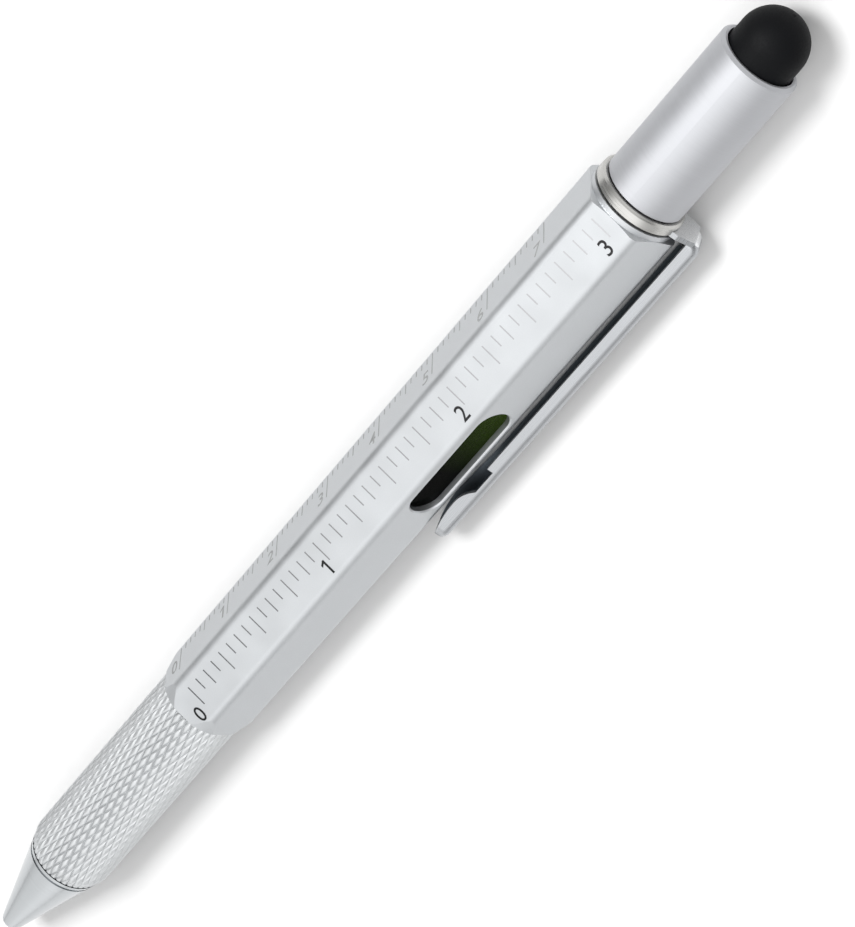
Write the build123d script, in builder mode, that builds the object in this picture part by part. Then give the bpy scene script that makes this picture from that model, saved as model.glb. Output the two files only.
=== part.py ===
import os
from math import cos, radians, sin, sqrt

from build123d import *

os.makedirs("parts", exist_ok=True)

# A multi tool pen lying on its side, in millimetres. The pen's axis runs along X, with the
# writing end at -X and the stylus at +X. The face with the inch scale looks up. The pen rests
# on the opposite face, and the origin is the middle of that face.

# Fits between the pieces
fixed_gap = 0.02
running_gap = 0.05
seam = 0.1
overrun = 1.0

# Hexagonal barrel: its length follows from what it holds
across_flats = 10.0
corner_round = 1.2
barrel_wall = 1.3
front_rim_rise = 0.15
front_cone_length = 2.2
rear_rim_drop = 0.05
rear_rim_length = 0.6
rear_cone_length = 0.2

# Level: the slot in the barrel, the lens in it, the holder and the vial
level_turn = 60.0
window_length = 15.8
window_width = 4.0
window_edge = 0.15
window_edge_slope = 45.0
level_front_space = 5.1
level_rear_space = 12.35
carrier_wall = 0.43
carrier_end_wall = 1.0
carrier_rim = 0.3
lens_inset = 0.75
vial_wall = 0.7
vial_length = 20.0
vial_end_wall = 1.0
vial_plug_length = 1.5
bubble_radius = 0.9
bubble_depth = 1.4
bubble_length = 4.4

# Grip and nose cone
grip_inset = 0.05
grip_length = 30.2
grip_bevel = 0.4
grip_bevel_length = 1.2
grip_bore_radius = 3.2
nose_length = 13.4
nose_end_radius = 1.2
nose_end_round = 0.45
nose_ring_length = 0.5
nose_groove_length = 0.35
nose_groove_depth = 0.45
nose_hole_clearance = 0.08
nose_hole_length = 1.6
nose_wall = 0.6
nose_bore_clearance = 0.325
nose_spigot_step = 0.75
nose_spigot_length = 6.0
nose_seam = 0.15

# Twist mechanism
bush_length = 5.0
cam_wall = 0.73
twist_tube_wall = 0.6
twist_tube_socket = 6.0
twist_flange_length = 1.0
twist_play = 0.15
pin_radius = 0.6
pin_clearance = 0.1
pin_bore_clearance = 0.15
cam_end_length = 4.0
plunger_tail = 2.0
plunger_web = 1.0

# Refill
refill_travel = 5.0
refill_inside = 2.2
refill_length = 67.0
refill_radius = 1.175
refill_wall = 0.22
ball_radius = 0.35
nozzle_lip = 0.1
nozzle_radius = 0.6
nozzle_length = 5.0
tip_cone_length = 2.0
tip_body_length = 4.0
tip_spigot_length = 3.0
ink_channel_radius = 0.22
ink_headroom = 12.5
follower_length = 2.5
refill_socket_depth = 8.0

# Collar and clip
collar_length = 1.35
collar_inset = 0.05
collar_taper = 0.05
collar_edge = 0.25
notch_floor_wall = 0.4
clip_turn = 107.0
clip_sheet = 0.6
clip_half_width = 1.7
clip_lift = 0.41
clip_height = 2.0
clip_shoulder = 0.85
clip_bend = 1.6
clip_flange_height = 1.7
clip_flange_length = 35.45
clip_notch_height = 1.0
clip_notch_length = 3.2
clip_bump_rise = 2.5
clip_bump_fall = 5.4
clip_tip_height = 1.15
clip_root_flare = 0.7
clip_gap = 0.1

# Bit, its holder and the cap: the cap's length follows from the bit
bit_flats = 4.0
bit_length = 24.0
bit_end_length = 6.0
bit_end_step = 0.5
bit_shoulder = 0.35
bit_point_radius = 0.7
bit_point_length = 2.2
cross_rib = 0.5
cross_cut_length = 2.6
blade_thickness = 0.6
blade_length = 3.0
bit_clearance = 0.05
bit_end_gap = 0.05
bit_cap_gap = 0.5
socket_depth = 14.0
magnet_inset = 0.15
magnet_length = 2.0
holder_floor = 1.5
spigot_step = 0.3
spigot_length = 4.5
thread_pitch = 0.7
thread_depth = 0.2
thread_inset = 0.6
cap_inset = 0.55
cap_wall = 0.6
cap_edge = 0.12
cap_rim_bevel = 0.35
cap_rim_depth = 0.3
insert_inset = 0.25

# Stylus
dome_gap = 0.2
dome_wall = 0.9
dome_rise = 1.8
dome_inset = 1.6
stylus_base_length = 2.0
stylus_core_rise = 1.6
stylus_core_round = 0.8

# Radii, worked out from the sizes above
axis_height = across_flats / 2
corner_reach = across_flats / sqrt(3) - corner_round * (2 / sqrt(3) - 1)
barrel_bore_radius = across_flats / 2 - barrel_wall
vial_radius = barrel_bore_radius - fixed_gap - carrier_wall - running_gap
twist_tube_radius = barrel_bore_radius - fixed_gap - cam_wall - running_gap
grip_radius = across_flats / 2 - grip_inset
nose_base_radius = grip_radius - grip_bevel
nose_spigot_radius = nose_base_radius - nose_spigot_step
nose_bore_radius = refill_radius + nose_bore_clearance
spigot_radius = barrel_bore_radius - spigot_step
collar_radius = across_flats / 2 - collar_inset
cap_radius = across_flats / 2 - cap_inset
cap_bore_radius = cap_radius - cap_wall
dome_radius = cap_bore_radius - dome_gap

# Lengths that follow from what lies inside
tip_length = nozzle_length + tip_cone_length + tip_body_length
front_reach = twist_play + grip_length + nose_seam + nose_length
refill_to_cam_end = refill_length + plunger_web + pin_radius + cam_end_length
mechanism_length = refill_inside + refill_to_cam_end - front_reach
carrier_length = carrier_end_wall + vial_length + vial_end_wall
spigot_reach = seam + collar_length + seam + spigot_length
holder_length = holder_floor + magnet_length + socket_depth - spigot_reach
level_space = level_front_space + carrier_length + level_rear_space
barrel_length = mechanism_length + level_space + holder_length

# Places along the pen
barrel_front_x = -barrel_length / 2
barrel_rear_x = barrel_length / 2
barrel_rim_x = barrel_rear_x - rear_rim_length
grip_rear_x = barrel_front_x - twist_play
grip_front_x = grip_rear_x - grip_length
nose_base_x = grip_front_x - nose_seam
nose_end_x = nose_base_x - nose_length
refill_front_x = nose_end_x + refill_inside
refill_rear_x = refill_front_x + refill_length
pin_rest_x = refill_rear_x + plunger_web + pin_radius
pin_out_x = pin_rest_x - refill_travel
slot_half_width = pin_radius + pin_clearance
flange_x = barrel_front_x + bush_length + twist_play
cam_x = flange_x + twist_flange_length + twist_play
cam_end_x = pin_rest_x + cam_end_length
carrier_x = cam_end_x + level_front_space
window_x = carrier_x + carrier_length / 2
holder_x = barrel_rear_x - holder_length
collar_x = barrel_rear_x + seam
cap_x = collar_x + collar_length + seam
spigot_end_x = cap_x + spigot_length
socket_floor_x = spigot_end_x - socket_depth
bit_x = socket_floor_x + bit_end_gap
bit_end_x = bit_x + bit_length
stylus_base_x = bit_end_x + bit_cap_gap
dome_x = stylus_base_x + stylus_base_length
cap_rim_x = dome_x + dome_inset
clip_side_x = collar_x + clip_gap / 2
pivot_x = clip_side_x + clip_sheet / 2

pen_axis = Axis((0, 0, axis_height), (1, 0, 0))


def outward(turn):
    """The direction out of the pen at an angle from the inch face, towards the level's face."""
    return (0, -sin(radians(turn)), cos(radians(turn)))


def side_plane(turn=0.0):
    """The plane through the pen's axis whose local y points outward at that angle."""
    y, z = outward(turn)[1:]
    return Plane(origin=(0, 0, axis_height), x_dir=(1, 0, 0), z_dir=(0, -z, y))


def face_plane(turn, x):
    """The plane through the pen's axis that looks outward at that angle."""
    return Plane(origin=(x, 0, axis_height), x_dir=(1, 0, 0), z_dir=outward(turn))


def cross_plane(x, turn=0.0):
    """The plane square to the pen's axis whose local y points outward at that angle."""
    y, z = outward(turn)[1:]
    return Plane(origin=(x, 0, axis_height), x_dir=(0, z, -y), z_dir=(1, 0, 0))


# Barrel: a hexagonal tube with its corners turned down at both ends, in front to a cone and
# behind to a short round rim, with the level's slot in one face and its edge bevelled
with BuildPart() as hex_barrel:
    with BuildSketch(cross_plane(barrel_front_x)):
        hexagon = RegularPolygon(across_flats / 2, 6, major_radius=False)
        fillet(hexagon.vertices(), radius=corner_round)
    extrude(amount=barrel_length)
    with BuildSketch(side_plane()):
        with BuildLine():
            Polyline(
                (barrel_front_x, 0),
                (barrel_front_x, across_flats / 2 + front_rim_rise),
                (barrel_front_x + front_cone_length, corner_reach),
                (barrel_front_x + front_cone_length, corner_reach + overrun),
                (barrel_rim_x - rear_cone_length, corner_reach + overrun),
                (barrel_rim_x - rear_cone_length, corner_reach),
                (barrel_rim_x, across_flats / 2 - rear_rim_drop),
                (barrel_rear_x, across_flats / 2 - rear_rim_drop),
                (barrel_rear_x, 0),
                close=True,
            )
        make_face()
    revolve(axis=pen_axis, mode=Mode.INTERSECT)
    with BuildSketch(cross_plane(barrel_front_x)):
        Circle(barrel_bore_radius)
    extrude(amount=barrel_length, mode=Mode.SUBTRACT)
    with BuildSketch(face_plane(level_turn, window_x)):
        SlotOverall(window_length, window_width)
    extrude(amount=across_flats, mode=Mode.SUBTRACT)
    with BuildSketch(face_plane(level_turn, window_x).offset(across_flats / 2 - window_edge)):
        SlotOverall(window_length, window_width)
    extrude(amount=2 * window_edge, taper=-window_edge_slope, mode=Mode.SUBTRACT)
hex_barrel.part.label = "hex_barrel"
export_step(hex_barrel.part, "parts/hex_barrel.step")

# Level: holder, lens, vial, plug and liquid. The lens fills the slot and stands on the
# holder's rim.
vial_x = window_x - vial_length / 2
vial_bore_radius = vial_radius - vial_wall
liquid_length = vial_length - vial_end_wall - vial_plug_length
with BuildPart() as vial_carrier:
    with BuildSketch(cross_plane(carrier_x)):
        Circle(barrel_bore_radius - fixed_gap)
    extrude(amount=carrier_length)
    with BuildSketch(cross_plane(carrier_x + carrier_end_wall)):
        Circle(vial_radius + running_gap)
    extrude(amount=carrier_length, mode=Mode.SUBTRACT)
    with BuildSketch(face_plane(level_turn, window_x)):
        SlotOverall(window_length - 2 * carrier_rim, window_width - 2 * carrier_rim)
    extrude(amount=across_flats, mode=Mode.SUBTRACT)
vial_carrier.part.label = "vial_carrier"
export_step(vial_carrier.part, "parts/vial_carrier.step")

with BuildPart() as level_lens:
    with BuildSketch(face_plane(level_turn, window_x)):
        SlotOverall(window_length - 2 * fixed_gap, window_width - 2 * fixed_gap)
    extrude(amount=across_flats / 2 - lens_inset)
    with BuildSketch(cross_plane(carrier_x)):
        Circle(barrel_bore_radius)
    extrude(amount=carrier_length, mode=Mode.SUBTRACT)
level_lens.part.label = "level_lens"
export_step(level_lens.part, "parts/level_lens.step")

with BuildPart() as level_vial:
    with BuildSketch(cross_plane(vial_x)):
        Circle(vial_radius)
    extrude(amount=vial_length)
    with BuildSketch(cross_plane(vial_x + vial_end_wall)):
        Circle(vial_bore_radius)
    extrude(amount=vial_length, mode=Mode.SUBTRACT)
level_vial.part.label = "level_vial"
export_step(level_vial.part, "parts/level_vial.step")

with BuildPart() as vial_plug:
    with BuildSketch(cross_plane(vial_x + vial_length - vial_plug_length)):
        Circle(vial_bore_radius - fixed_gap)
    extrude(amount=vial_plug_length)
vial_plug.part.label = "vial_plug"
export_step(vial_plug.part, "parts/vial_plug.step")

# The bubble lies at the highest place in the vial
bubble_height = axis_height + vial_bore_radius - bubble_depth + bubble_radius
bubble_axis = Axis((window_x, 0, bubble_height), (1, 0, 0))
with BuildPart() as level_liquid:
    with BuildSketch(cross_plane(vial_x + vial_end_wall + fixed_gap)):
        Circle(vial_bore_radius - fixed_gap)
    extrude(amount=liquid_length - 2 * fixed_gap)
    with BuildSketch(Plane(origin=(window_x, 0, bubble_height), x_dir=(1, 0, 0), z_dir=(0, -1, 0))):
        SlotOverall(bubble_length, 2 * bubble_radius)
        Rectangle(
            bubble_length,
            2 * bubble_radius,
            align=(Align.CENTER, Align.MAX),
            mode=Mode.SUBTRACT,
        )
    revolve(axis=bubble_axis, mode=Mode.SUBTRACT)
level_liquid.part.label = "level_liquid"
export_step(level_liquid.part, "parts/level_liquid.step")

# Grip: a sleeve, bevelled in front down to the nose cone's base
with BuildPart() as grip:
    with BuildSketch(side_plane()):
        with BuildLine():
            Polyline(
                (grip_front_x, nose_spigot_radius + fixed_gap),
                (grip_front_x, nose_base_radius),
                (grip_front_x + grip_bevel_length, grip_radius),
                (grip_rear_x, grip_radius),
                (grip_rear_x, twist_tube_radius + fixed_gap),
                (grip_rear_x - twist_tube_socket - seam, twist_tube_radius + fixed_gap),
                (grip_rear_x - twist_tube_socket - seam, grip_bore_radius),
                (grip_front_x + nose_spigot_length + seam, grip_bore_radius),
                (grip_front_x + nose_spigot_length + seam, nose_spigot_radius + fixed_gap),
                close=True,
            )
        make_face()
    revolve(axis=pen_axis)
grip.part.label = "grip"
export_step(grip.part, "parts/grip.step")

# Nose cone: its wall follows the cone down to the writing hole, and a groove parts a ring
# from its base
nose_hole_radius = nozzle_radius + nose_hole_clearance
nose_slope = (nose_base_radius - nose_end_radius) / nose_length
nose_taper_x = nose_end_x + nose_hole_length
nose_taper_end_x = nose_end_x + (nose_bore_radius + nose_wall - nose_end_radius) / nose_slope
with BuildPart() as nose_cone:
    with BuildSketch(side_plane()):
        with BuildLine():
            Polyline(
                (nose_end_x, nose_hole_radius),
                (nose_end_x, nose_end_radius),
                (nose_base_x, nose_base_radius),
                (nose_base_x, nose_spigot_radius),
                (nose_base_x + nose_spigot_length, nose_spigot_radius),
                (nose_base_x + nose_spigot_length, nose_bore_radius),
                (nose_taper_end_x, nose_bore_radius),
                (nose_taper_x, nose_hole_radius),
                close=True,
            )
        make_face()
    revolve(axis=pen_axis)
    with BuildSketch(side_plane()):
        with Locations((nose_base_x - nose_ring_length, nose_base_radius)):
            Rectangle(
                nose_groove_length,
                2 * nose_groove_depth,
                align=(Align.MAX, Align.CENTER),
            )
    revolve(axis=pen_axis, mode=Mode.SUBTRACT)
    nose_rims = nose_cone.edges().group_by(Axis.X)[0].sort_by(SortBy.RADIUS)
    fillet(nose_rims[-1], radius=nose_end_round)
nose_cone.part.label = "nose_cone"
export_step(nose_cone.part, "parts/nose_cone.step")

# Bush in the barrel's front end: the twist tube turns in it and is held by it
with BuildPart() as mechanism_bush:
    with BuildSketch(cross_plane(barrel_front_x)):
        Circle(barrel_bore_radius - fixed_gap)
        Circle(twist_tube_radius + running_gap, mode=Mode.SUBTRACT)
    extrude(amount=bush_length)
mechanism_bush.part.label = "mechanism_bush"
export_step(mechanism_bush.part, "parts/mechanism_bush.step")

# Twist tube: fixed in the grip, flanged behind the bush, slotted along its underside
twist_tube_x = grip_rear_x - twist_tube_socket
twist_tube_bore = twist_tube_radius - twist_tube_wall
with BuildPart() as twist_tube:
    with BuildSketch(cross_plane(twist_tube_x)):
        Circle(twist_tube_radius)
    extrude(amount=cam_end_x - twist_tube_x)
    with BuildSketch(cross_plane(flange_x)):
        Circle(barrel_bore_radius - pin_bore_clearance)
    extrude(amount=twist_flange_length)
    with BuildSketch(cross_plane(twist_tube_x)):
        Circle(twist_tube_bore)
    extrude(amount=cam_end_x - twist_tube_x, mode=Mode.SUBTRACT)
    with BuildSketch(face_plane(180.0, (pin_rest_x + pin_out_x) / 2)):
        SlotOverall(refill_travel + 2 * slot_half_width, 2 * slot_half_width)
    extrude(amount=barrel_bore_radius, mode=Mode.SUBTRACT)
twist_tube.part.label = "twist_tube"
export_step(twist_tube.part, "parts/twist_tube.step")

# Cam sleeve: fixed in the barrel, with a helical slot of half a turn that drives the pin
cam_bore = twist_tube_radius + running_gap
slot_path_radius = (cam_bore + barrel_bore_radius) / 2
with BuildPart() as cam_sleeve:
    with BuildSketch(cross_plane(cam_x)):
        Circle(barrel_bore_radius - fixed_gap)
        Circle(cam_bore, mode=Mode.SUBTRACT)
    extrude(amount=cam_end_x - cam_x)
    with BuildLine() as slot_path:
        Helix(
            pitch=2 * refill_travel,
            height=refill_travel,
            radius=slot_path_radius,
            center=(pin_out_x, 0, axis_height),
            direction=(1, 0, 0),
        )
    slot_start = slot_path.line @ 0
    with BuildSketch(Plane(origin=slot_start, x_dir=(0, 0, 1), z_dir=slot_path.line % 0)):
        Rectangle(barrel_bore_radius - cam_bore + overrun, 2 * slot_half_width)
    sweep(path=slot_path.line, is_frenet=True, mode=Mode.SUBTRACT)
    with BuildSketch(face_plane(0.0, pin_out_x)):
        Circle(slot_half_width)
    extrude(amount=barrel_bore_radius, mode=Mode.SUBTRACT)
    with BuildSketch(face_plane(180.0, pin_rest_x)):
        Circle(slot_half_width)
    extrude(amount=barrel_bore_radius, mode=Mode.SUBTRACT)
cam_sleeve.part.label = "cam_sleeve"
export_step(cam_sleeve.part, "parts/cam_sleeve.step")

# Plunger and its pin: carry the refill's back end
plunger_x = refill_rear_x - refill_socket_depth
plunger_radius = twist_tube_bore - running_gap
with BuildPart() as plunger:
    with BuildSketch(cross_plane(plunger_x)):
        Circle(plunger_radius)
    extrude(amount=pin_rest_x + plunger_tail - plunger_x)
    with BuildSketch(cross_plane(plunger_x)):
        Circle(refill_radius + fixed_gap)
    extrude(amount=refill_socket_depth + fixed_gap, mode=Mode.SUBTRACT)
    with BuildSketch(face_plane(180.0, pin_rest_x).offset(-pin_radius)):
        Circle(pin_radius + fixed_gap)
    extrude(amount=twist_tube_radius + pin_radius, mode=Mode.SUBTRACT)
plunger.part.label = "plunger"
export_step(plunger.part, "parts/plunger.step")

with BuildPart() as plunger_pin:
    with BuildSketch(face_plane(180.0, pin_rest_x).offset(fixed_gap - pin_radius)):
        Circle(pin_radius)
    extrude(amount=barrel_bore_radius - pin_bore_clearance + pin_radius - fixed_gap)
plunger_pin.part.label = "plunger_pin"
export_step(plunger_pin.part, "parts/plunger_pin.step")

# Refill: brass tip with the ball, tube, ink and follower
tip_rear_x = refill_front_x + tip_length
refill_bore = refill_radius - refill_wall
ball_x = refill_front_x + ball_radius
seat_radius = ball_radius + fixed_gap
mouth_x = ball_x - sqrt(seat_radius**2 - ball_radius**2)
mouth_radius = ball_radius + nozzle_lip
ink_x = tip_rear_x + tip_spigot_length + fixed_gap
follower_x = refill_rear_x - ink_headroom - follower_length
with BuildPart() as refill_tip:
    with BuildSketch(side_plane()):
        with BuildLine():
            Polyline(
                (mouth_x, 0),
                (mouth_x, mouth_radius),
                (mouth_x + nozzle_radius, nozzle_radius),
                (refill_front_x + nozzle_length, nozzle_radius),
                (refill_front_x + nozzle_length + tip_cone_length, refill_radius),
                (tip_rear_x, refill_radius),
                (tip_rear_x, refill_bore - fixed_gap),
                (tip_rear_x + tip_spigot_length, refill_bore - fixed_gap),
                (tip_rear_x + tip_spigot_length, 0),
                close=True,
            )
        make_face()
    revolve(axis=pen_axis)
    with BuildSketch(cross_plane(ball_x)):
        Circle(ink_channel_radius)
    extrude(amount=tip_length + tip_spigot_length, mode=Mode.SUBTRACT)
    with Locations((ball_x, 0, axis_height)):
        Sphere(seat_radius, mode=Mode.SUBTRACT)
refill_tip.part.label = "refill_tip"
export_step(refill_tip.part, "parts/refill_tip.step")

with BuildPart() as refill_ball:
    with Locations((ball_x, 0, axis_height)):
        Sphere(ball_radius)
refill_ball.part.label = "refill_ball"
export_step(refill_ball.part, "parts/refill_ball.step")

with BuildPart() as refill_tube:
    with BuildSketch(cross_plane(tip_rear_x)):
        Circle(refill_radius)
        Circle(refill_bore, mode=Mode.SUBTRACT)
    extrude(amount=refill_rear_x - tip_rear_x)
refill_tube.part.label = "refill_tube"
export_step(refill_tube.part, "parts/refill_tube.step")

with BuildPart() as refill_ink:
    with BuildSketch(cross_plane(ink_x)):
        Circle(refill_bore - fixed_gap)
    extrude(amount=follower_x - fixed_gap - ink_x)
refill_ink.part.label = "refill_ink"
export_step(refill_ink.part, "parts/refill_ink.step")

with BuildPart() as refill_follower:
    with BuildSketch(cross_plane(follower_x)):
        Circle(refill_bore - fixed_gap)
    extrude(amount=follower_length)
refill_follower.part.label = "refill_follower"
export_step(refill_follower.part, "parts/refill_follower.step")

# Collar: a ring between the barrel and the cap, notched for the clip's root
clip_root_half_width = clip_half_width + clip_root_flare
notch_half_width = clip_root_half_width + clip_gap
notch_floor_radius = spigot_radius + notch_floor_wall
with BuildPart() as collar_ring:
    with BuildSketch(side_plane()):
        with BuildLine():
            Polyline(
                (collar_x, spigot_radius + fixed_gap),
                (collar_x, collar_radius - collar_edge),
                (collar_x + collar_edge, collar_radius),
                (collar_x + collar_length - collar_edge, collar_radius - collar_taper),
                (collar_x + collar_length, collar_radius - collar_taper - collar_edge),
                (collar_x + collar_length, spigot_radius + fixed_gap),
                close=True,
            )
        make_face()
    revolve(axis=pen_axis)
    with BuildSketch(side_plane(clip_turn)):
        with Locations((collar_x, notch_floor_radius)):
            Rectangle(
                2 * (clip_sheet + clip_gap + clip_gap),
                collar_radius,
                align=(Align.CENTER, Align.MIN),
            )
    extrude(amount=notch_half_width, both=True, mode=Mode.SUBTRACT)
collar_ring.part.label = "collar_ring"
export_step(collar_ring.part, "parts/collar_ring.step")

# Clip: one folded sheet, open towards the barrel. Its side walls are full height from the
# root on. The upper one dips in a notch, the lower one runs on, and both end in the contact
# bump and the rounded tip.
clip_x = clip_side_x + clip_sheet
flange_end_x = clip_x - clip_flange_length
notch_end_x = flange_end_x - clip_notch_length
bump_x = notch_end_x - clip_bump_rise
tip_x = bump_x - clip_bump_fall
clip_length = clip_x - tip_x
clip_pivot_radius = notch_floor_radius + clip_gap + clip_sheet / 2
clip_bump_radius = corner_reach + clip_lift
clip_outer_radius = clip_bump_radius + clip_height
clip_inner_radius = clip_outer_radius - clip_flange_height
clip_notch_radius = clip_outer_radius - clip_notch_height
clip_tip_radius = clip_outer_radius - clip_tip_height
channel_half_width = clip_half_width - clip_sheet
with BuildPart() as pocket_clip:
    with BuildSketch(side_plane(clip_turn)):
        with BuildLine():
            Line((clip_x, clip_inner_radius), (clip_x, clip_outer_radius - clip_bend))
            TangentArc(
                (clip_x, clip_outer_radius - clip_bend),
                (clip_x - clip_bend, clip_outer_radius),
                tangent=(0, 1),
            )
            Polyline(
                (clip_x - clip_bend, clip_outer_radius),
                (tip_x, clip_outer_radius),
                (tip_x, clip_tip_radius),
            )
            TangentArc((bump_x, clip_bump_radius), (tip_x, clip_tip_radius), tangent=(-1, 0))
            TangentArc(
                (bump_x, clip_bump_radius),
                (notch_end_x, clip_notch_radius),
                tangent=(1, 0),
            )
            Polyline(
                (notch_end_x, clip_notch_radius),
                (flange_end_x, clip_notch_radius),
                (flange_end_x, clip_inner_radius),
                (clip_x, clip_inner_radius),
            )
        make_face()
    extrude(amount=clip_half_width, both=True)
    with BuildSketch(side_plane(clip_turn)):
        with BuildLine():
            Polyline(
                (flange_end_x, clip_notch_radius),
                (flange_end_x, clip_inner_radius),
                (bump_x, clip_bump_radius),
                (bump_x, clip_notch_radius),
                close=True,
            )
        make_face()
    extrude(amount=clip_half_width)
    with BuildSketch(face_plane(clip_turn, tip_x)):
        SlotOverall(
            clip_length + 2 * clip_half_width,
            2 * clip_half_width,
            align=(Align.MIN, Align.CENTER),
        )
    extrude(amount=clip_outer_radius, mode=Mode.INTERSECT)
    web = pocket_clip.faces().sort_by(Axis((0, 0, 0), outward(clip_turn)))[-1]
    fillet(web.edges().filter_by(Axis.X), radius=clip_shoulder)
    with BuildSketch(face_plane(clip_turn, tip_x + clip_sheet)):
        SlotOverall(clip_length, 2 * channel_half_width, align=(Align.MIN, Align.CENTER))
        with Locations((clip_side_x - tip_x - clip_sheet, 0)):
            Rectangle(
                clip_length,
                2 * channel_half_width,
                align=(Align.MIN, Align.CENTER),
                mode=Mode.SUBTRACT,
            )
    extrude(amount=clip_outer_radius - clip_sheet, mode=Mode.SUBTRACT)
    with BuildSketch(cross_plane(clip_side_x, clip_turn)):
        with BuildLine():
            Polyline(
                (-clip_root_half_width, clip_pivot_radius),
                (-clip_root_half_width, collar_radius),
                (-clip_half_width, clip_inner_radius + clip_sheet),
                (clip_half_width, clip_inner_radius + clip_sheet),
                (clip_root_half_width, collar_radius),
                (clip_root_half_width, clip_pivot_radius),
                close=True,
            )
        make_face()
    extrude(amount=clip_sheet)
    with BuildSketch(side_plane(clip_turn)):
        with Locations((pivot_x, clip_pivot_radius)):
            Circle(clip_sheet / 2)
    extrude(amount=clip_root_half_width, both=True)
pocket_clip.part.label = "pocket_clip"
export_step(pocket_clip.part, "parts/pocket_clip.step")

# Bit holder: fixed in the barrel's rear end, with the collar and the cap's thread on its spigot
thread_x = cap_x + thread_inset
magnet_radius = bit_flats / 2 - magnet_inset
with BuildPart() as bit_holder:
    with BuildSketch(cross_plane(holder_x)):
        Circle(barrel_bore_radius - fixed_gap)
    extrude(amount=barrel_rear_x - holder_x)
    with BuildSketch(cross_plane(barrel_rear_x)):
        Circle(spigot_radius)
    extrude(amount=spigot_end_x - barrel_rear_x)
    with BuildSketch(cross_plane(socket_floor_x)):
        RegularPolygon(bit_flats / 2 + bit_clearance, 6, major_radius=False)
    extrude(amount=socket_depth, mode=Mode.SUBTRACT)
    with BuildSketch(cross_plane(socket_floor_x - magnet_length)):
        Circle(magnet_radius + fixed_gap)
    extrude(amount=magnet_length, mode=Mode.SUBTRACT)
    with BuildLine() as thread_path:
        Helix(
            pitch=thread_pitch,
            height=spigot_end_x - thread_x,
            radius=spigot_radius,
            center=(thread_x, 0, axis_height),
            direction=(1, 0, 0),
        )
    thread_start = thread_path.line @ 0
    with BuildSketch(Plane(origin=thread_start, x_dir=(0, 0, 1), z_dir=thread_path.line % 0)):
        with BuildLine():
            Polyline(
                (-thread_depth, 0),
                (thread_depth, thread_pitch / 2),
                (thread_depth, -thread_pitch / 2),
                close=True,
            )
        make_face()
    sweep(path=thread_path.line, is_frenet=True, mode=Mode.SUBTRACT)
bit_holder.part.label = "bit_holder"
export_step(bit_holder.part, "parts/bit_holder.step")

with BuildPart() as bit_magnet:
    with BuildSketch(cross_plane(socket_floor_x - magnet_length)):
        Circle(magnet_radius)
    extrude(amount=magnet_length - fixed_gap)
bit_magnet.part.label = "bit_magnet"
export_step(bit_magnet.part, "parts/bit_magnet.step")

# Driver bit: a hexagonal bar, turned down at both ends, with a cross at one and a blade at
# the other
bit_corner_radius = bit_flats / sqrt(3)
bit_end_radius = bit_flats / 2 - bit_end_step
flute_middle = (cross_rib + bit_end_radius) / 2
blade_middle = (blade_thickness + bit_end_radius) / 2
with BuildPart() as driver_bit:
    with BuildSketch(cross_plane(bit_x)):
        RegularPolygon(bit_flats / 2, 6, major_radius=False)
    extrude(amount=bit_length)
    with BuildSketch(side_plane()):
        with BuildLine():
            Polyline(
                (bit_x, 0),
                (bit_x, bit_end_radius),
                (bit_x + bit_end_length, bit_end_radius),
                (bit_x + bit_end_length + bit_shoulder, bit_corner_radius),
                (bit_end_x - bit_end_length - bit_shoulder, bit_corner_radius),
                (bit_end_x - bit_end_length, bit_end_radius),
                (bit_end_x - bit_point_length, bit_end_radius),
                (bit_end_x, bit_point_radius),
                (bit_end_x, 0),
                close=True,
            )
        make_face()
    revolve(axis=pen_axis, mode=Mode.INTERSECT)
    with BuildSketch(cross_plane(bit_end_x - cross_cut_length)):
        with GridLocations(2 * flute_middle, 2 * flute_middle, 2, 2):
            Rectangle(bit_end_radius, bit_end_radius)
    extrude(amount=cross_cut_length, mode=Mode.SUBTRACT)
    with BuildSketch(cross_plane(bit_x)):
        with GridLocations(0, 2 * blade_middle, 1, 2):
            Rectangle(2 * bit_end_radius, bit_end_radius)
    extrude(amount=blade_length, mode=Mode.SUBTRACT)
driver_bit.part.label = "driver_bit"
export_step(driver_bit.part, "parts/driver_bit.step")

# Cap: a tube over the bit, with an insert in its mouth that slides over the spigot. Its bore
# is left plain, because a straight pull stands in for the thread's turn.
with BuildPart() as cap_tube:
    with BuildSketch(side_plane()):
        with BuildLine():
            Polyline(
                (cap_x, cap_bore_radius),
                (cap_x, cap_radius - cap_edge),
                (cap_x + cap_edge, cap_radius),
                (cap_rim_x - cap_rim_depth, cap_radius),
                (cap_rim_x, cap_radius - cap_rim_bevel),
                (cap_rim_x, cap_bore_radius),
                close=True,
            )
        make_face()
    revolve(axis=pen_axis)
cap_tube.part.label = "cap_tube"
export_step(cap_tube.part, "parts/cap_tube.step")

with BuildPart() as cap_insert:
    with BuildSketch(cross_plane(cap_x + insert_inset)):
        Circle(cap_bore_radius - fixed_gap)
        Circle(spigot_radius + running_gap, mode=Mode.SUBTRACT)
    extrude(amount=spigot_length - 2 * insert_inset)
cap_insert.part.label = "cap_insert"
export_step(cap_insert.part, "parts/cap_insert.step")

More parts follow.
